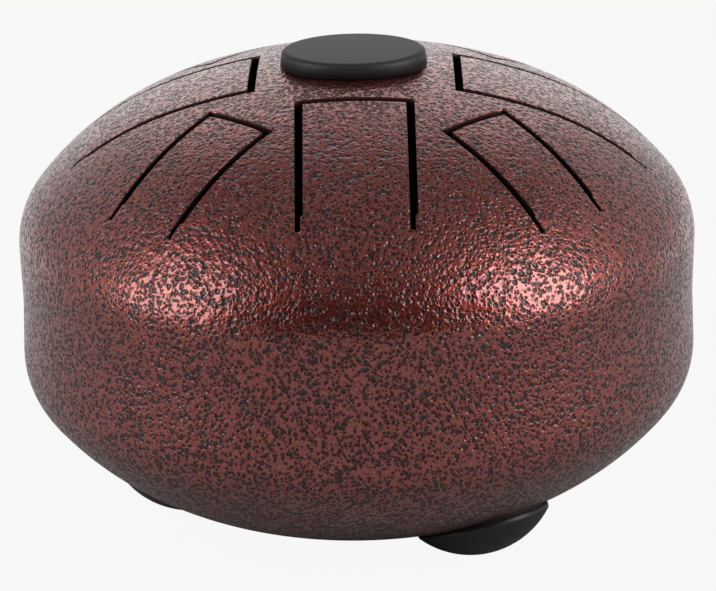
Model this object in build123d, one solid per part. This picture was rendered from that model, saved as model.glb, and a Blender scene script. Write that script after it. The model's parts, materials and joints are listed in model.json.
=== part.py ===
from build123d import *
import math
import os

# Steel tongue drum: two pressed heads welded rim to rim, eight tongues cut in the upper head,
# a rubber cap glued on its crown and three rubber feet glued under the lower head.
# Millimetres. The origin is on the table under the drum's centre, +Z is up and the front is -Y.

# Pressed heads, measured on the outside. Slopes are in degrees from level.
shell_diameter = 203.2
sheet_thickness = 2.3
crown_radius = 163.5
crown_slope = 20.7          # where the crown runs into the flank
knuckle_radius = 23.0
knuckle_slope = 51.3        # where the flank runs into the knuckle
skirt_height = 17.2         # from the widest ring to the seam
skirt_taper = 1.8           # how far the skirt leans in towards the seam
port_diameter = 56.0        # sound port in the middle of the lower head

# Weld in the groove round the seam
weld_width = 1.8
weld_land = 0.8             # sheet left butted together under the groove

# Slots, seen from above. The last stretch before the root is narrower.
slot_width = 2.3
tail_width = 1.5
tail_length = 4.0
root_gap = 0.08             # hairline that parts a tongue from the head at its root

# Tongues. Widths are across the outside of the slots, a root lies where the head has its slope,
# and tips are from the drum's centre to the near edge of the tip slot.
long_width = 34.9
long_root_slope = 37.7
short_width = 26.7
short_root_slope = 43.2
right_width = 37.2
right_root_slope = 41.6
left_width = 36.0
left_root_slope = 39.4
left_turn = -1.8            # how far the left tongue stands from its even place round the drum
tip_front = 27.8
tip_front_right = 48.3
tip_right = 29.8
tip_back_right = 47.6
tip_back = 28.8
tip_back_left = 48.0
tip_left = 28.8
tip_front_left = 46.4

# Oval cap on the crown
cap_length = 43.9
cap_width = 34.4
cap_rise = 3.95             # top face above the crown
cap_draft = 0.6             # how far the sides lean in by the top
cap_edge_radius = 1.8

# Domed feet on the lower head
foot_diameter = 40.0
foot_height = 9.5
foot_rim = 0.2              # straight edge before the dome
foot_edge_radius = 1.2
foot_circle_radius = 58.0   # from the drum's axis to where a foot's axis meets the head
foot_flat = 0.7             # depth of dome that stands pressed flat on the table
right_foot_angle = 38.5     # from the front towards the right
left_foot_angle = -86.8     # from the front towards the left

# Adhesive pads
glue_thickness = 0.5
glue_margin = 1.6           # how far a pad stays inside the edge of what it holds

# Each tongue's width, root and tip, in even steps round the drum from the front towards the right
tongues = {
    "front": (long_width, long_root_slope, tip_front),
    "front_right": (short_width, short_root_slope, tip_front_right),
    "right": (right_width, right_root_slope, tip_right),
    "back_right": (short_width, short_root_slope, tip_back_right),
    "back": (long_width, long_root_slope, tip_back),
    "back_left": (short_width, short_root_slope, tip_back_left),
    "left": (left_width, left_root_slope, tip_left),
    "front_left": (short_width, short_root_slope, tip_front_left),
}
turns = {"left": left_turn}
tongue_step = 360 / len(tongues)
seam_turn = tongue_step / 2     # keeps the heads' own edge lines between two tongues

shell_radius = shell_diameter / 2
crown_angle = math.radians(crown_slope)
knuckle_angle = math.radians(knuckle_slope)
taper_angle = math.radians(skirt_taper)

# The flank is tangent to the crown and to the knuckle, which leaves it one radius.
flank_radius = (
    shell_radius - knuckle_radius * (1 - math.sin(knuckle_angle)) - crown_radius * math.sin(crown_angle)
) / (math.sin(knuckle_angle) - math.sin(crown_angle))


def along(centre, distance, angle):
    """The point at a distance from centre, in the direction of a head's normal at a slope."""
    return (centre[0] + distance * math.sin(angle), centre[1] + distance * math.cos(angle))


# Centres of the three arcs, as radius and height above the seam
knuckle_centre = (shell_radius - knuckle_radius, skirt_height)
flank_centre = along(knuckle_centre, knuckle_radius - flank_radius, knuckle_angle)
crown_centre = along(flank_centre, flank_radius - crown_radius, crown_angle)
crown_height = crown_centre[1] + crown_radius


# Each arc with the slope at which it ends
head_arcs = (
    (crown_centre, crown_radius, crown_angle),
    (flank_centre, flank_radius, knuckle_angle),
    (knuckle_centre, knuckle_radius, math.pi / 2),
)


def radius_at(slope):
    """Distance from a head's axis at which its outside has a slope."""
    for centre, size, end in head_arcs:
        if slope <= end:
            return along(centre, size, slope)[0]


def slope_and_height(radius, offset=0.0):
    """Slope and height above the seam at a distance from a head's axis, offset outwards from its outside."""
    for centre, size, end in head_arcs:
        if radius <= along(centre, size + offset, end)[0]:
            slope = math.asin((radius - centre[0]) / (size + offset))
            return slope, along(centre, size + offset, slope)[1]


def section(*edges):
    """A closed section, drawn as radius and height, standing in the XZ plane."""
    return Plane.XZ * make_face(edges)


def turned(face):
    return Rot(0, 0, seam_turn) * revolve(face, Axis.Z)


def arc(centre, radius, start, end):
    points = [along(centre, radius, angle) for angle in (start, (start + end) / 2, end)]
    return ThreePointArc(*points)


def head_body(offset):
    """Everything inside one head's outside, down to the seam, grown outwards by offset."""
    crown = arc(crown_centre, crown_radius + offset, 0, crown_angle)
    flank = arc(flank_centre, flank_radius + offset, crown_angle, knuckle_angle)
    knuckle = arc(knuckle_centre, knuckle_radius + offset, knuckle_angle, math.pi / 2 + taper_angle)
    skirt_top = knuckle @ 1
    seam_edge = (skirt_top.X - skirt_top.Y * math.tan(taper_angle), 0)
    return turned(
        section(
            crown,
            flank,
            knuckle,
            Line(skirt_top, seam_edge),
            Line(seam_edge, (0, 0)),
            Line((0, 0), crown @ 0),
        )
    )


skirt_edge_height = skirt_height - knuckle_radius * math.sin(taper_angle)
seam_radius = (
    shell_radius
    - knuckle_radius * (1 - math.cos(taper_angle))
    - skirt_edge_height * math.tan(taper_angle)
)
weld_face_radius = seam_radius + weld_width / 2 * math.tan(taper_angle)
weld_root_radius = seam_radius - sheet_thickness / math.cos(taper_angle) + weld_land


def weld_ring(outer_radius):
    """A ring of wedge section round the seam, its point inwards. Its flanks keep one angle."""
    half_width = weld_width / 2 * (outer_radius - weld_root_radius) / (weld_face_radius - weld_root_radius)
    root = (weld_root_radius, 0)
    top = (outer_radius, half_width)
    bottom = (outer_radius, -half_width)
    return turned(section(Line(root, top), Line(top, bottom), Line(bottom, root)))


def pressed_head():
    """One head as it leaves the press, seam at z = 0, with its edge ground for the weld."""
    sheet = head_body(0) - head_body(-sheet_thickness)
    return sheet - weld_ring(weld_face_radius + weld_width)


def prism(points, azimuth):
    """An upright prism over a plan outline of points along and across a tongue."""
    outline = Polygon(*points, align=None)
    return Rot(0, 0, azimuth - 90) * extrude(outline, crown_height + cap_rise)


def window(half_width, tip, root, azimuth):
    """What a tongue and the slots round it take out of the head."""
    step = slot_width - tail_width
    return prism(
        [
            (tip, -half_width),
            (root, -half_width),
            (root, half_width - step),
            (root - tail_length, half_width - step),
            (root - tail_length - step, half_width),
            (tip, half_width),
        ],
        azimuth,
    )


def tongue_plan(half_width, tip, root, azimuth):
    """The tongue itself, inside its slots."""
    step = slot_width - tail_width
    side = half_width - slot_width
    return prism(
        [
            (tip + slot_width, -side),
            (root - tail_length - step, -side),
            (root - tail_length, -side - step),
            (root - root_gap, -side - step),
            (root - root_gap, side),
            (tip + slot_width, side),
        ],
        azimuth,
    )


def upper_head():
    """The slotted shell and its tongues, seam at z = 0, and where each tongue bends."""
    blank = pressed_head()
    pieces = {}
    shell = blank
    for index, (name, (width, root_slope, tip)) in enumerate(tongues.items()):
        azimuth = tongue_step * index + turns.get(name, 0)
        root = radius_at(math.radians(root_slope))
        shell = shell - window(width / 2, tip, root, azimuth)
        pieces["tongue_" + name] = blank & tongue_plan(width / 2, tip, root, azimuth)
        report_hinge(name, azimuth, root)
    pieces["upper_shell"] = shell
    return pieces


def report_hinge(name, azimuth, root):
    """Print the line that a tongue bends about: the middle of the sheet at its root."""
    turn = math.radians(azimuth)
    across = (math.cos(turn), math.sin(turn))
    height = seam_height + slope_and_height(root, -sheet_thickness / 2)[1]
    place = (root * math.sin(turn), -root * math.cos(turn), height)
    print(f"hinge tongue_{name}", *(f"{value:.3f}" for value in (*place, *across)))


def lower_shell():
    port = Cylinder(port_diameter / 2, 3 * crown_height)
    return Rot(180, 0, 0) * (pressed_head() - port)


def pad_layer():
    """The space between a head's outside and the underside of what is glued to it."""
    return head_body(glue_thickness) - head_body(0)


def top_cap():
    """The cap on the crown, with its underside hollowed to the head."""
    base_level = slope_and_height(cap_length / 2)[1]
    top_level = crown_height + cap_rise
    base = Pos(0, 0, base_level) * Ellipse(cap_length / 2, cap_width / 2)
    top = Pos(0, 0, top_level) * Ellipse(cap_length / 2 - cap_draft, cap_width / 2 - cap_draft)
    block = loft([base, top], ruled=True)
    block = fillet(block.edges().sort_by(Axis.Z)[-1], cap_edge_radius)
    return block - head_body(glue_thickness)


def cap_adhesive():
    outline = Ellipse(cap_length / 2 - glue_margin, cap_width / 2 - glue_margin)
    return extrude(outline, crown_height + cap_rise) & pad_layer()


# A foot's dome and how the drum stands on it
foot_radius = foot_diameter / 2
dome_height = foot_height - foot_rim
dome_radius = (foot_radius**2 + dome_height**2) / (2 * dome_height)
foot_tilt, foot_seat_height = slope_and_height(foot_circle_radius)
dome_low = foot_seat_height - (dome_radius - foot_height) * math.cos(foot_tilt) + dome_radius
seam_height = dome_low - foot_flat


# The third foot stands behind, midway between the other two
feet = {
    "front_right": right_foot_angle,
    "back": (right_foot_angle + left_foot_angle) / 2 + 180,
    "left": left_foot_angle,
}


def on_lower_head(shape, azimuth):
    """Turn a shape that points up from z = 0 to stand out of the lower head at an azimuth."""
    seat = Pos(foot_circle_radius, 0, -foot_seat_height) * Rot(0, 180 - math.degrees(foot_tilt), 0)
    return Rot(0, 0, azimuth - 90) * seat * shape


def foot(azimuth):
    """One foot, its base hollowed to the lower head and its dome flat where it stands."""
    dome_centre = (0, foot_height - dome_radius)
    base = (foot_radius, -foot_height)
    dome = arc(dome_centre, dome_radius, math.asin(foot_radius / dome_radius), 0)
    blank = revolve(
        section(
            Line((0, -foot_height), base),
            Line(base, dome @ 0),
            dome,
            Line(dome @ 1, (0, -foot_height)),
        ),
        Axis.Z,
    )
    rim_edge = blank.edges().filter_by(lambda edge: edge.is_closed).sort_by(Axis.Z)[-1]
    blank = fillet(rim_edge, foot_edge_radius)
    seated = on_lower_head(blank, azimuth) - Rot(180, 0, 0) * head_body(glue_thickness)
    return split(seated, Plane.XY.offset(-seam_height), keep=Keep.TOP)


def foot_adhesive(azimuth):
    disc = Cylinder(foot_radius - glue_margin, 2 * foot_height)
    return on_lower_head(disc, azimuth) & Rot(180, 0, 0) * pad_layer()


def build():
    """Every piece by name, seam at z = 0."""
    pieces = upper_head()
    pieces["lower_shell"] = lower_shell()
    pieces["seam_weld"] = weld_ring(weld_face_radius)
    pieces["top_cap"] = top_cap()
    pieces["cap_adhesive"] = cap_adhesive()
    for name, azimuth in feet.items():
        pieces["foot_" + name] = foot(azimuth)
        pieces["foot_adhesive_" + name] = foot_adhesive(azimuth)
    return pieces


os.makedirs("parts", exist_ok=True)
for name, piece in build().items():
    export_step(Pos(0, 0, seam_height) * piece, f"parts/{name}.step")
print(f"seam height {seam_height:.3f}, crown {seam_height + crown_height:.3f}")
print(f"flank radius {flank_radius:.3f}")
flat_radius = foot_circle_radius - (dome_radius - foot_height) * math.sin(foot_tilt)
for name, azimuth in feet.items():
    print(f"flat foot_{name} {flat_radius:.3f} mm out at {azimuth:.2f} degrees")
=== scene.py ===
import json
import math

import bmesh
import bpy
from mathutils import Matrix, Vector


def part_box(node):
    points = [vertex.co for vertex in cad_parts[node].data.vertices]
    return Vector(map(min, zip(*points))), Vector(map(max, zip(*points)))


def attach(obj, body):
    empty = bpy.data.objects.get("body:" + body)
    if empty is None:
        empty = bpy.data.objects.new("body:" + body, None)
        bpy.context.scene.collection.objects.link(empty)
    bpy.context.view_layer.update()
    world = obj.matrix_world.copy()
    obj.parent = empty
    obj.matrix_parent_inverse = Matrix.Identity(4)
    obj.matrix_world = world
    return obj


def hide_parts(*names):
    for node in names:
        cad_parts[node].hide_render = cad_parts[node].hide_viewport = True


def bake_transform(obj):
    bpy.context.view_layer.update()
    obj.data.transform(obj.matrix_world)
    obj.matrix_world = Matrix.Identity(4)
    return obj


# Steel tongue drum: coated steel shell with eight tongues, rubber cap and rubber feet.
# Blender works in metres, the dictionaries are in millimetres and degrees.

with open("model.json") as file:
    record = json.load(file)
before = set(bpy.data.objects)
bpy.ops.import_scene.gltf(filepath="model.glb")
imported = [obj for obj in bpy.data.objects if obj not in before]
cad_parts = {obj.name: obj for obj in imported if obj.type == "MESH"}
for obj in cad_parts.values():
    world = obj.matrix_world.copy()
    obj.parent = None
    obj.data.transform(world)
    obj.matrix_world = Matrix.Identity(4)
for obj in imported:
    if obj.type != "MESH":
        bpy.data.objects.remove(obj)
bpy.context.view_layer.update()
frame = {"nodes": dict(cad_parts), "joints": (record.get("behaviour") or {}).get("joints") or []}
scene = bpy.context.scene
scene.view_settings.view_transform = "Standard"
mm = 0.001


def paint(hexText):
    # sRGB hex to the linear colour that the shaders take
    parts = [int(hexText[i:i + 2], 16) / 255 for i in (1, 3, 5)]
    return tuple(p / 12.92 if p <= 0.04045 else ((p + 0.055) / 1.055) ** 2.4 for p in parts) + (1.0,)


def addNode(tree, kind, settings=None, inputs=None):
    # An input takes a plain value, a socket, or a node whose first open output is meant
    node = tree.nodes.new(kind)
    for name, value in (settings or {}).items():
        setattr(node, name, value)
    for name, value in (inputs or {}).items():
        if isinstance(value, bpy.types.Node):
            value = next(socket for socket in value.outputs if socket.enabled)
        if isinstance(value, bpy.types.NodeSocket):
            tree.links.new(value, node.inputs[name])
        else:
            node.inputs[name].default_value = value
    return node


softStep = {"interpolation_type": "SMOOTHSTEP"}
colours = {"data_type": "RGBA"}     # a Mix node takes two colours at inputs 6 and 7, two values at 2 and 3


def newMaterial(name):
    material = bpy.data.materials.new(name)
    material.use_nodes = True
    material.node_tree.nodes.clear()
    return material


# Powder coat, hammer finish: a metallic red film that draws back from tiny craters as it bakes.
# The eye gets a softly waved red film with flake in it, crowded with small dark dimples and larger grey pits,
# under a glossy skin that lies thick on the film and thin in the craters. Real flake is finer, and is drawn
# as coarse as it needs to be to show.
hammerLook = {
    "film": "#802A22",
    "flakes": "#AA5147",
    "hollow": "#37201D",
    "warm": "#B0501F",
    "cool": "#A03048",
    "pitGreen": "#3A2E28",
    "pitBlue": "#372A2F",
    "dimpleSpacing": 1.15,
    "dimpleRadius": (0.36, 0.64),   # smallest and largest, in spacings
    "dimpleDepth": 0.09,
    "pitSpacing": 1.95,
    "pitRadius": (0.2, 0.55),
    "pitDepth": 0.22,
    "rim": (0.35, 1.2),             # where a crater's wall runs, in its own radii
    "stain": (0.52, 1.18),          # and where its dark floor fades out
    "waveSize": 1.8,                # soft waves that the whole film flows into
    "waveDepth": 0.25,
    "waveDetail": 1.0,
    "wander": 0.28,                 # how far a crater's outline strays from a round one
    "wanderSize": 0.75,
    "flakeSize": 0.5,
    "flakeEdge": (0.38, 0.66),      # noise values between which film turns to flake
    "tintPatch": 1.6,
    "tintEdge": (0.52, 0.78),       # and between which a tint comes in
    "tintShare": 0.8,
    "filmMetallic": 0.92,
    "pitMetallic": 0.6,
    "filmRoughness": 0.33,
    "filmSkin": 1.0,                # weight of the glossy skin on the film and in both craters
    "dimpleSkin": 0.1,
    "pitSkin": 0.28,
    "skinRoughness": 0.1,
    "skinIndex": 1.72,
}


def makeHammerCoat():
    look = hammerLook
    material = newMaterial("hammerPowderCoat")
    tree = material.node_tree
    place = addNode(tree, "ShaderNodeTexCoord").outputs["Object"]

    # Places wander a little, so that no crater is a plain round dot
    cloud = addNode(tree, "ShaderNodeTexNoise", inputs={
        "Vector": place, "Scale": 1 / (look["wanderSize"] * mm)})
    centred = addNode(tree, "ShaderNodeVectorMath", {"operation": "SUBTRACT"}, {
        0: cloud.outputs["Color"], 1: (0.5, 0.5, 0.5)})
    swing = 2 * look["wander"] * mm
    moved = addNode(tree, "ShaderNodeVectorMath", {"operation": "MULTIPLY_ADD"}, {
        0: centred, 1: (swing, swing, swing), 2: place})

    # Two sizes of crater: how far in a place is, against that crater's own radius
    stains = []
    bowls = []
    for kind in ("dimple", "pit"):
        cell = addNode(tree, "ShaderNodeTexVoronoi", inputs={
            "Vector": moved, "Scale": 1 / (look[kind + "Spacing"] * mm)})
        chance = addNode(tree, "ShaderNodeSeparateColor", inputs={0: cell.outputs["Color"]})
        radius = addNode(tree, "ShaderNodeMapRange", inputs={
            "Value": chance, "To Min": look[kind + "Radius"][0], "To Max": look[kind + "Radius"][1]})
        reach = addNode(tree, "ShaderNodeMath", {"operation": "DIVIDE"}, {0: cell, 1: radius})
        stains.append(addNode(tree, "ShaderNodeMapRange", softStep, {
            "Value": reach, "From Min": look["stain"][0], "From Max": look["stain"][1],
            "To Min": 1.0, "To Max": 0.0}))
        bowls.append(addNode(tree, "ShaderNodeMapRange", softStep, {
            "Value": reach, "From Min": look["rim"][0], "From Max": look["rim"][1],
            "To Min": look[kind + "Depth"], "To Max": 0.0}))

    # Red drifts towards orange and wine from patch to patch, with flake in it
    grains = addNode(tree, "ShaderNodeTexNoise", inputs={
        "Vector": place, "Scale": 1 / (look["flakeSize"] * mm)})
    grains = addNode(tree, "ShaderNodeMapRange", softStep, {
        "Value": grains, "From Min": look["flakeEdge"][0], "From Max": look["flakeEdge"][1]})
    colour = addNode(tree, "ShaderNodeMix", colours, {
        "Factor": grains, 6: paint(look["film"]), 7: paint(look["flakes"])})
    patches = addNode(tree, "ShaderNodeTexNoise", inputs={
        "Vector": place, "Scale": 1 / (look["tintPatch"] * mm)})
    patches = addNode(tree, "ShaderNodeSeparateColor", inputs={0: patches.outputs["Color"]})
    for channel, tint in (("Red", "warm"), ("Green", "cool")):
        share = addNode(tree, "ShaderNodeMapRange", softStep, {
            "Value": patches.outputs[channel], "From Min": look["tintEdge"][0],
            "From Max": look["tintEdge"][1], "To Max": look["tintShare"]})
        colour = addNode(tree, "ShaderNodeMix", colours, {
            "Factor": share, 6: colour, 7: paint(look[tint])})

    # Dark floors of the craters, where the skin is thin
    pitTone = addNode(tree, "ShaderNodeMix", colours, {
        "Factor": chance.outputs["Green"], 6: paint(look["pitGreen"]), 7: paint(look["pitBlue"])})
    skin = look["filmSkin"]
    layers = ((paint(look["hollow"]), look["dimpleSkin"]), (pitTone, look["pitSkin"]))
    for stain, (tone, weight) in zip(stains, layers):
        colour = addNode(tree, "ShaderNodeMix", colours, {"Factor": stain, 6: colour, 7: tone})
        skin = addNode(tree, "ShaderNodeMix", inputs={"Factor": stain, 2: skin, 3: weight})
    dark = addNode(tree, "ShaderNodeMath", {"operation": "MAXIMUM"}, {0: stains[0], 1: stains[1]})
    metallic = addNode(tree, "ShaderNodeMapRange", inputs={
        "Value": dark, "To Min": look["filmMetallic"], "To Max": look["pitMetallic"]})

    # Relief: the deeper crater of the two, on the film's waves
    waves = addNode(tree, "ShaderNodeTexNoise", inputs={
        "Vector": place, "Scale": 1 / (look["waveSize"] * mm), "Detail": look["waveDetail"]})
    depth = addNode(tree, "ShaderNodeMath", {"operation": "MAXIMUM"}, {0: bowls[0], 1: bowls[1]})
    depth = addNode(tree, "ShaderNodeMath", {"operation": "MULTIPLY_ADD"}, {
        0: waves, 1: look["waveDepth"], 2: depth})
    normal = addNode(tree, "ShaderNodeBump", {"invert": True}, {"Height": depth, "Distance": mm})
    shader = addNode(tree, "ShaderNodeBsdfPrincipled", inputs={
        "Base Color": colour, "Metallic": metallic, "Roughness": look["filmRoughness"], "Normal": normal,
        "Coat Weight": skin, "Coat Roughness": look["skinRoughness"], "Coat IOR": look["skinIndex"],
        "Coat Normal": normal})
    addNode(tree, "ShaderNodeOutputMaterial", inputs={"Surface": shader})
    return material


# Thin paint, in soft patches of two tones.
# On the sheet's cut edges the powder lies thin, with no hammer pattern, and is nearly black: part thin coat,
# part painted shade of the slot walls.
# Inside, the pressed steel has a dull dark primer: all that shows through the slots and the sound port.
thinPaints = {
    "thinCoatPaintedShade": {"tones": ("#231110", "#3A1D1A"), "patch": 0.9, "detail": 3.0, "roughness": 0.5},
    "darkPrimer": {"tones": ("#2A2828", "#373332"), "patch": 14.0, "detail": 5.0, "roughness": 0.62},
}


def makeThinPaint(name):
    look = thinPaints[name]
    material = newMaterial(name)
    tree = material.node_tree
    place = addNode(tree, "ShaderNodeTexCoord").outputs["Object"]
    patch = addNode(tree, "ShaderNodeTexNoise", inputs={
        "Vector": place, "Scale": 1 / (look["patch"] * mm), "Detail": look["detail"]})
    colour = addNode(tree, "ShaderNodeMix", colours, {
        "Factor": patch, 6: paint(look["tones"][0]), 7: paint(look["tones"][1])})
    shader = addNode(tree, "ShaderNodeBsdfPrincipled", inputs={
        "Base Color": colour, "Roughness": look["roughness"]})
    addNode(tree, "ShaderNodeOutputMaterial", inputs={"Surface": shader})
    return material


# Moulded rubber: dull, grey-black, with the grain of a spark-eroded mould and a trace of dust.
# The real grain is finer, and is drawn as coarse as it needs to be to show.
rubberLooks = {
    "capRubber": {"colour": "#1E1F23", "dust": "#27282C", "roughness": 0.52, "grain": 0.35, "depth": 0.012},
    "footRubber": {"colour": "#1B1B1F", "dust": "#25252A", "roughness": 0.42, "grain": 0.5, "depth": 0.008},
}
anyRubber = {"grainDetail": 3.0, "dustPatch": 6.0, "dustDetail": 4.0, "index": 1.52}    # the same in both


def makeRubber(name):
    look = rubberLooks[name]
    material = newMaterial(name)
    tree = material.node_tree
    place = addNode(tree, "ShaderNodeTexCoord").outputs["Object"]
    grain = addNode(tree, "ShaderNodeTexNoise", inputs={
        "Vector": place, "Scale": 1 / (look["grain"] * mm), "Detail": anyRubber["grainDetail"]})
    dust = addNode(tree, "ShaderNodeTexNoise", inputs={
        "Vector": place, "Scale": 1 / (anyRubber["dustPatch"] * mm), "Detail": anyRubber["dustDetail"]})
    colour = addNode(tree, "ShaderNodeMix", colours, {
        "Factor": dust, 6: paint(look["colour"]), 7: paint(look["dust"])})
    normal = addNode(tree, "ShaderNodeBump", inputs={"Height": grain, "Distance": look["depth"] * mm})
    shader = addNode(tree, "ShaderNodeBsdfPrincipled", inputs={
        "Base Color": colour, "Roughness": look["roughness"], "Normal": normal, "IOR": anyRubber["index"]})
    addNode(tree, "ShaderNodeOutputMaterial", inputs={"Surface": shader})
    return material


# Acrylic foam tape: a grey, slightly tacky pad with fine closed cells.
tapeLook = {"cells": "#454547", "walls": "#5A5A5C", "spacing": 0.4, "depth": 0.03, "roughness": 0.7}


def makeTape():
    look = tapeLook
    material = newMaterial("acrylicFoamTape")
    tree = material.node_tree
    place = addNode(tree, "ShaderNodeTexCoord").outputs["Object"]
    cells = addNode(tree, "ShaderNodeTexVoronoi", inputs={
        "Vector": place, "Scale": 1 / (look["spacing"] * mm)})
    colour = addNode(tree, "ShaderNodeMix", colours, {
        "Factor": cells, 6: paint(look["cells"]), 7: paint(look["walls"])})
    normal = addNode(tree, "ShaderNodeBump", inputs={"Height": cells, "Distance": look["depth"] * mm})
    shader = addNode(tree, "ShaderNodeBsdfPrincipled", inputs={
        "Base Color": colour, "Roughness": look["roughness"], "Normal": normal})
    addNode(tree, "ShaderNodeOutputMaterial", inputs={"Surface": shader})
    return material


hammerCoat = makeHammerCoat()
# cut edges: thin coat, with painted shade making it nearly black
cutEdge = makeThinPaint("thinCoatPaintedShade")
insidePrimer = makeThinPaint("darkPrimer")
capRubber = makeRubber("capRubber")
footRubber = makeRubber("footRubber")
foamTape = makeTape()
print("materials made:", len(bpy.data.materials))


# Pressed heads: three arcs that run into each other, and a skirt down to the seam
head = {
    "diameter": 203.2,
    "sheet": 2.3,
    "crownRadius": 163.5,
    "crownSlope": 20.7,
    "knuckleRadius": 23.0,
    "knuckleSlope": 51.3,
    "skirtHeight": 17.2,
    "skirtTaper": 1.8,
    "lipRadius": 0.32,          # rounding of the slots' edges
    "lipSegments": 3,
    "rootGap": 0.08,            # hairline at a tongue's root, which the coat fills
    "rootReach": 0.12,          # how near the root line a tongue's end face lies
    "bendLength": 9.0,          # length along a tongue from its root
    "sharpAngle": 40,           # edges that turn further than this stay sharp
    "flatFacing": 0.8,          # least cosine to the head's normal of a face in the sheet's surface
    "cutFacing": 0.5,           # and the most of one in a cut edge
}
# How near counts as touching
near = {
    "merge": 0.002,
    "sliver": 0.004,
    "face": 0.1,                # a corner in one of the sheet's two faces
    "lip": 0.05,                # an edge in its outer face
    "seam": 2.0,                # the ends of the skirts, at the weld
    "rootLine": 0.2,            # an edge along a tongue's root
    "rootSide": 20.0,           # and how far to the sides a root can reach
}
weldLow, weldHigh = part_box("seam_weld")
seamHeight = (weldLow.z + weldHigh.z) / 2


def headArcs():
    # Each arc as the radius and height of its centre, its size and the slope at which it ends
    crownEnd = math.radians(head["crownSlope"])
    flankEnd = math.radians(head["knuckleSlope"])
    knuckleSize = head["knuckleRadius"] * mm
    crownSize = head["crownRadius"] * mm
    outer = head["diameter"] / 2 * mm
    reach = outer - knuckleSize * (1 - math.sin(flankEnd)) - crownSize * math.sin(crownEnd)
    flankSize = reach / (math.sin(flankEnd) - math.sin(crownEnd))
    knuckle = Vector((outer - knuckleSize, head["skirtHeight"] * mm))
    flank = knuckle + (knuckleSize - flankSize) * Vector((math.sin(flankEnd), math.cos(flankEnd)))
    crown = flank + (flankSize - crownSize) * Vector((math.sin(crownEnd), math.cos(crownEnd)))
    skirtEnd = math.radians(90 + head["skirtTaper"])
    return ((crown, crownSize, crownEnd), (flank, flankSize, flankEnd), (knuckle, knuckleSize, skirtEnd))


arcs = headArcs()


def onHead(point):
    # The head's outward normal at a point, and how far outside the sheet's face the point lies
    side = 1 if point.z > seamHeight else -1
    spot = Vector((math.hypot(point.x, point.y), side * (point.z - seamHeight)))
    for centre, size, end in arcs:
        away = spot - centre
        slope = math.atan2(away.x, away.y)
        if slope <= end:
            break
    slope = min(slope, end)
    lift = away.x * math.sin(slope) + away.y * math.cos(slope) - size
    radius = max(spot.x, 1e-9)  # never nothing, for the point on the axis
    level = math.sin(slope)
    normal = Vector((point.x / radius * level, point.y / radius * level, side * math.cos(slope)))
    return normal, lift


# Tongues: where each one grows out of the head and which way that is from the drum's middle
tongueJoints = {joint["child"]: joint for joint in frame["joints"]}


def tongueLine(joint):
    root = Vector(joint["pos_m"])
    outward = Vector((root.x, root.y, 0)).normalized()
    return root, outward


def atRoot(edge):
    for joint in tongueJoints.values():
        root, outward = tongueLine(joint)
        sideways = Vector((-outward.y, outward.x, 0))
        gaps = [abs((vertex.co - root).dot(outward)) for vertex in edge.verts]
        sides = [abs((vertex.co - root).dot(sideways)) for vertex in edge.verts]
        if max(gaps) < near["rootLine"] * mm and max(sides) < near["rootSide"] * mm:
            return True
    return False


def copyOf(nodeName):
    mesh = bmesh.new()
    mesh.from_mesh(frame["nodes"][nodeName].data)
    bmesh.ops.remove_doubles(mesh, verts=mesh.verts, dist=near["merge"] * mm)
    bmesh.ops.dissolve_degenerate(mesh, edges=mesh.edges, dist=near["sliver"] * mm)
    return mesh


def finishPiece(mesh, name, nodeName, materials, body=None):
    data = bpy.data.meshes.new(name)
    mesh.to_mesh(data)
    mesh.free()
    for material in materials:
        data.materials.append(material)
    piece = bpy.data.objects.new(name, data)
    scene.collection.objects.link(piece)
    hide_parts(nodeName)
    if body:
        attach(piece, body)
    return piece


def softShade(data, sharpAngle):
    data.shade_smooth()
    data.set_sharp_from_angle(angle=math.radians(sharpAngle))


def roundLips(mesh):
    # Rounds the outer edges of slots and port, but not where a tongue grows out of the head
    lips = []
    for edge in mesh.edges:
        if len(edge.link_faces) != 2 or edge.calc_face_angle() < math.radians(head["sharpAngle"]):
            continue
        if any(abs(onHead(vertex.co)[1]) > near["lip"] * mm for vertex in edge.verts):
            continue
        if abs(edge.verts[0].co.z - seamHeight) < near["seam"] * mm or atRoot(edge):
            continue
        lips.append(edge)
    bmesh.ops.bevel(
        mesh, geom=lips, offset=head["lipRadius"] * mm, offset_type="OFFSET", affect="EDGES",
        segments=head["lipSegments"], profile=0.5, material=-1, clamp_overlap=False)


sheetMaterials = (hammerCoat, insidePrimer, cutEdge)


def markFaces(data):
    # The sheet's inner face has primer only, and its cut edges a thin coat darkened with painted shade
    for face in data.polygons:
        facing = face.normal.dot(onHead(face.center)[0])
        if facing < -head["cutFacing"]:
            face.material_index = sheetMaterials.index(insidePrimer)
        elif facing < head["cutFacing"]:
            face.material_index = sheetMaterials.index(cutEdge)
        else:
            face.material_index = sheetMaterials.index(hammerCoat)


def shadeByHead(data):
    # Corners that lie in the sheet's two faces take the pressed form's own normal
    softShade(data, head["sharpAngle"])
    normals = [corner.vector.copy() for corner in data.corner_normals]
    surface = [onHead(vertex.co) for vertex in data.vertices]
    for face in data.polygons:
        for loop in face.loop_indices:
            normal, lift = surface[data.loops[loop].vertex_index]
            facing = face.normal.dot(normal)
            if abs(lift) < near["face"] * mm and facing > head["flatFacing"]:
                normals[loop] = normal
            elif abs(lift + head["sheet"] * mm) < near["face"] * mm and facing < -head["flatFacing"]:
                normals[loop] = -normal
    data.normals_split_custom_set(normals)


def makeSheetPiece(mesh, name, nodeName, body=None):
    roundLips(mesh)
    piece = finishPiece(mesh, name, nodeName, sheetMaterials, body)
    markFaces(piece.data)
    shadeByHead(piece.data)
    return piece


def makeHeads():
    for nodeName, name in (("upper_shell", "upperShell"), ("lower_shell", "lowerShell")):
        makeSheetPiece(copyOf(nodeName), name, nodeName, "shell")
    weld = finishPiece(copyOf("seam_weld"), "seamWeld", "seam_weld", (hammerCoat,), "shell")
    softShade(weld.data, head["sharpAngle"])


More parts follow.
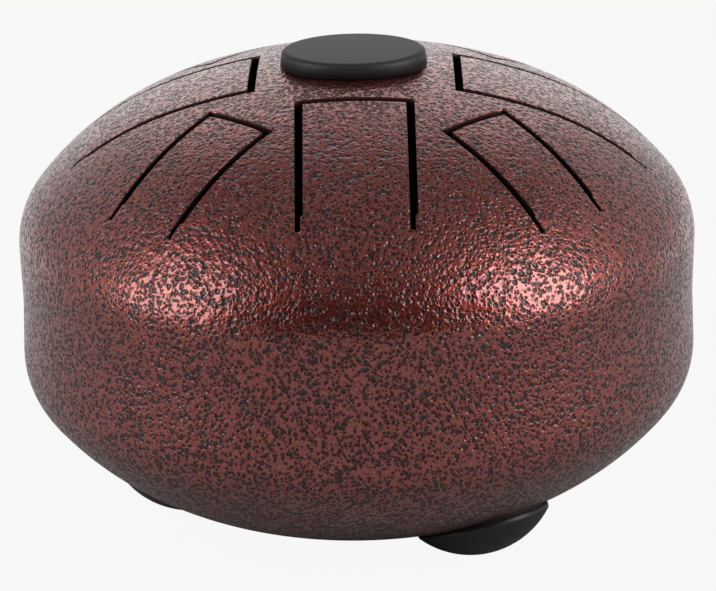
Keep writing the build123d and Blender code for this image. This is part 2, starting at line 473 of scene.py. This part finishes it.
def makeTongue(nodeName, joint):
    root, outward = tongueLine(joint)
    mesh = copyOf(nodeName)
    for vertex in mesh.verts:
        if (vertex.co - root).dot(outward) > -head["rootReach"] * mm:
            vertex.co += outward * head["rootGap"] * mm
    piece = makeSheetPiece(mesh, nodeName + "Coated", nodeName)
    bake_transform(piece)


makeHeads()
for nodeName, joint in tongueJoints.items():
    makeTongue(nodeName, joint)
print("heads and", len(tongueJoints), "tongues coated")


# Rubber pieces keep their moulded shape, with soft shading
moulding = {"sharpAngle": 35, "feet": ("front_right", "left", "back")}


def makeMoulding(nodeName, name, material):
    piece = finishPiece(copyOf(nodeName), name, nodeName, (material,), "shell")
    softShade(piece.data, moulding["sharpAngle"])


makeMoulding("top_cap", "topCap", capRubber)
for place in moulding["feet"]:
    makeMoulding("foot_" + place, "rubberFoot_" + place, footRubber)
for nodeName, node in frame["nodes"].items():
    if "adhesive" in nodeName:
        node.data.materials.clear()
        node.data.materials.append(foamTape)
print("cap, feet and pads made")


# Studio: pale floor, two soft boxes beside the camera and a white backdrop that lights the crown
studio = {
    "floorRadius": 4000,
    "floorSegments": 96,
    "backdrop": "#FFFFFF",
    "floorColour": "#A0A0A0",
    "floorShade": 0.08,          # how much of the floor takes the drum's shadow
    "floorGloss": (0.25, 0.75),  # how much of the backdrop's white it shows in reflections, front and back
    "floorSweep": (50, 350),     # where behind the middle it runs over from one to the other
    "floorDim": (55, 175),       # and how far from the middle the drum's own shade reaches
    "portShade": (19, 27),       # where the floor under the sound port lies in the dark
    "roomLight": 0.03,
    "overheadLight": 0.31,
    "overheadFrom": (52, 78),    # elevations between which the light overhead comes in
    "wallLight": 0.48,           # pale walls at the sides and behind
    "backLight": 0.58,           # and how much brighter the backdrop is
    "wallTop": (33, 66),         # elevations between which walls and backdrop fade
    "wallFrom": (-0.45, 0.05),   # where the walls begin, as a direction's part along +Y
    "backFrom": (0.0, 0.3),      # and the backdrop
    "backEdge": (0.22, 0.5),     # its half width, as a direction's part along X
}
softBox = {
    "azimuth": 65,               # to either side of the front
    "elevation": 26,
    "distance": 1300,
    "width": 660,
    "height": 1150,
}
softBoxes = {"softBoxLeft": (-1, 8.2), "softBoxRight": (1, 11.0)}   # which side, and watts
view = {
    "elevation": 20.06,
    "distance": 1298.2,          # from the middle of the seam
    "lens": 215.4,
    "sensor": 36.0,
    "roll": -1.066,              # the photograph leans a little to the left
    "aimDrop": 3.77,             # how far below the seam's middle the camera looks
}


def makeFloor():
    material = newMaterial("paleFloor")
    tree = material.node_tree
    path = addNode(tree, "ShaderNodeLightPath")
    spot = addNode(tree, "ShaderNodeTexCoord").outputs["Object"]
    away = addNode(tree, "ShaderNodeVectorMath", {"operation": "LENGTH"}, {0: spot})

    # White in reflections, more so behind the drum and less in its own shade
    mirrored = addNode(tree, "ShaderNodeMath", {"operation": "MAXIMUM"}, {
        0: path.outputs["Is Glossy Ray"], 1: path.outputs["Is Transmission Ray"]})
    behind = addNode(tree, "ShaderNodeSeparateXYZ", inputs={0: spot}).outputs["Y"]
    sweep = addNode(tree, "ShaderNodeMapRange", softStep, {
        "Value": behind, "From Min": studio["floorSweep"][0] * mm, "From Max": studio["floorSweep"][1] * mm,
        "To Min": studio["floorGloss"][0], "To Max": studio["floorGloss"][1]})
    shade = addNode(tree, "ShaderNodeMapRange", softStep, {
        "Value": away, "From Min": studio["floorDim"][0] * mm, "From Max": studio["floorDim"][1] * mm})
    sweep = addNode(tree, "ShaderNodeMath", {"operation": "MULTIPLY"}, {0: sweep, 1: shade})
    mirrored = addNode(tree, "ShaderNodeMath", {"operation": "MULTIPLY"}, {0: mirrored, 1: sweep})

    # White to the camera too, but for a little shadow and the dark under the sound port
    clear = addNode(tree, "ShaderNodeMapRange", softStep, {
        "Value": away, "From Min": studio["portShade"][0] * mm, "From Max": studio["portShade"][1] * mm,
        "To Max": 1 - studio["floorShade"]})
    share = addNode(tree, "ShaderNodeMath", {"operation": "MULTIPLY_ADD"}, {
        0: path.outputs["Is Camera Ray"], 1: clear, 2: mirrored})
    glow = addNode(tree, "ShaderNodeEmission", inputs={"Color": paint(studio["backdrop"]), "Strength": 1.0})
    matte = addNode(tree, "ShaderNodeBsdfDiffuse", inputs={"Color": paint(studio["floorColour"])})
    shader = addNode(tree, "ShaderNodeMixShader", inputs={0: share, 1: matte, 2: glow})
    addNode(tree, "ShaderNodeOutputMaterial", inputs={"Surface": shader})

    mesh = bmesh.new()
    bmesh.ops.create_circle(
        mesh, cap_ends=True, segments=studio["floorSegments"], radius=studio["floorRadius"] * mm)
    data = bpy.data.meshes.new("studioFloor")
    mesh.to_mesh(data)
    mesh.free()
    data.materials.append(material)
    floor = bpy.data.objects.new("studioFloor", data)
    scene.collection.objects.link(floor)


def makeWorld():
    world = bpy.data.worlds.new("studioWorld")
    world.use_nodes = True
    tree = world.node_tree
    tree.nodes.clear()
    direction = addNode(tree, "ShaderNodeTexCoord").outputs["Generated"]
    parts = addNode(tree, "ShaderNodeSeparateXYZ", inputs={0: direction}).outputs

    # Walls at the sides and behind, with the brighter backdrop in the middle of the back
    walls = addNode(tree, "ShaderNodeMapRange", softStep, {
        "Value": parts["Y"], "From Min": studio["wallFrom"][0], "From Max": studio["wallFrom"][1],
        "To Max": studio["wallLight"]})
    behind = addNode(tree, "ShaderNodeMapRange", softStep, {
        "Value": parts["Y"], "From Min": studio["backFrom"][0], "From Max": studio["backFrom"][1]})
    aside = addNode(tree, "ShaderNodeMath", {"operation": "ABSOLUTE"}, {0: parts["X"]})
    centre = addNode(tree, "ShaderNodeMapRange", softStep, {
        "Value": aside, "From Min": studio["backEdge"][0], "From Max": studio["backEdge"][1],
        "To Min": studio["backLight"], "To Max": 0.0})
    sides = addNode(tree, "ShaderNodeMath", {"operation": "MULTIPLY_ADD"}, {0: centre, 1: behind, 2: walls})

    # Both fade towards the ceiling, where the light overhead comes in
    wallTop = [math.sin(math.radians(angle)) for angle in studio["wallTop"]]
    low = addNode(tree, "ShaderNodeMapRange", softStep, {
        "Value": parts["Z"], "From Min": wallTop[0], "From Max": wallTop[1], "To Min": 1.0, "To Max": 0.0})
    overhead = [math.sin(math.radians(angle)) for angle in studio["overheadFrom"]]
    above = addNode(tree, "ShaderNodeMapRange", softStep, {
        "Value": parts["Z"], "From Min": overhead[0], "From Max": overhead[1],
        "To Min": studio["roomLight"], "To Max": studio["overheadLight"]})
    strength = addNode(tree, "ShaderNodeMath", {"operation": "MULTIPLY_ADD"}, {0: sides, 1: low, 2: above})
    light = addNode(tree, "ShaderNodeBackground", inputs={
        "Color": paint(studio["backdrop"]), "Strength": strength})

    # The camera itself sees plain white
    backdrop = addNode(tree, "ShaderNodeBackground", inputs={
        "Color": paint(studio["backdrop"]), "Strength": 1.0})
    path = addNode(tree, "ShaderNodeLightPath")
    shown = addNode(tree, "ShaderNodeMixShader", inputs={
        0: path.outputs["Is Camera Ray"], 1: light, 2: backdrop})
    addNode(tree, "ShaderNodeOutputWorld", inputs={"Surface": shown})
    scene.world = world


def aimedAt(obj, target, roll=0.0):
    aim = (target - obj.location).to_track_quat("-Z", "Y")
    obj.rotation_euler = aim.to_euler()
    obj.rotation_euler.rotate_axis("Z", roll)


def around(centre, azimuth, elevation, distance):
    # Azimuth 0 is the front, and positive turns to the drum's right
    turn = math.radians(azimuth)
    rise = math.radians(elevation)
    away = Vector((math.sin(turn) * math.cos(rise), -math.cos(turn) * math.cos(rise), math.sin(rise)))
    return centre + away * (distance * mm)


middle = Vector((0, 0, seamHeight))


def makeLights():
    for name, (side, watts) in softBoxes.items():
        lamp = bpy.data.lights.new(name, "AREA")
        lamp.shape = "RECTANGLE"
        lamp.size = softBox["width"] * mm
        lamp.size_y = softBox["height"] * mm
        lamp.energy = watts
        box = bpy.data.objects.new(name, lamp)
        box.location = around(middle, side * softBox["azimuth"], softBox["elevation"], softBox["distance"])
        aimedAt(box, middle)
        box.visible_camera = False
        scene.collection.objects.link(box)


def makeCamera():
    lens = bpy.data.cameras.new("photoCamera")
    lens.lens = view["lens"]
    lens.sensor_width = view["sensor"]
    camera = bpy.data.objects.new("photoCamera", lens)
    camera.location = around(middle, 0, view["elevation"], view["distance"])
    rise = math.radians(view["elevation"])
    upward = Vector((0, math.sin(rise), math.cos(rise)))
    aimedAt(camera, middle - upward * view["aimDrop"] * mm, math.radians(view["roll"]))
    scene.collection.objects.link(camera)
    scene.camera = camera


makeFloor()
makeWorld()
makeLights()
makeCamera()
print("studio set")
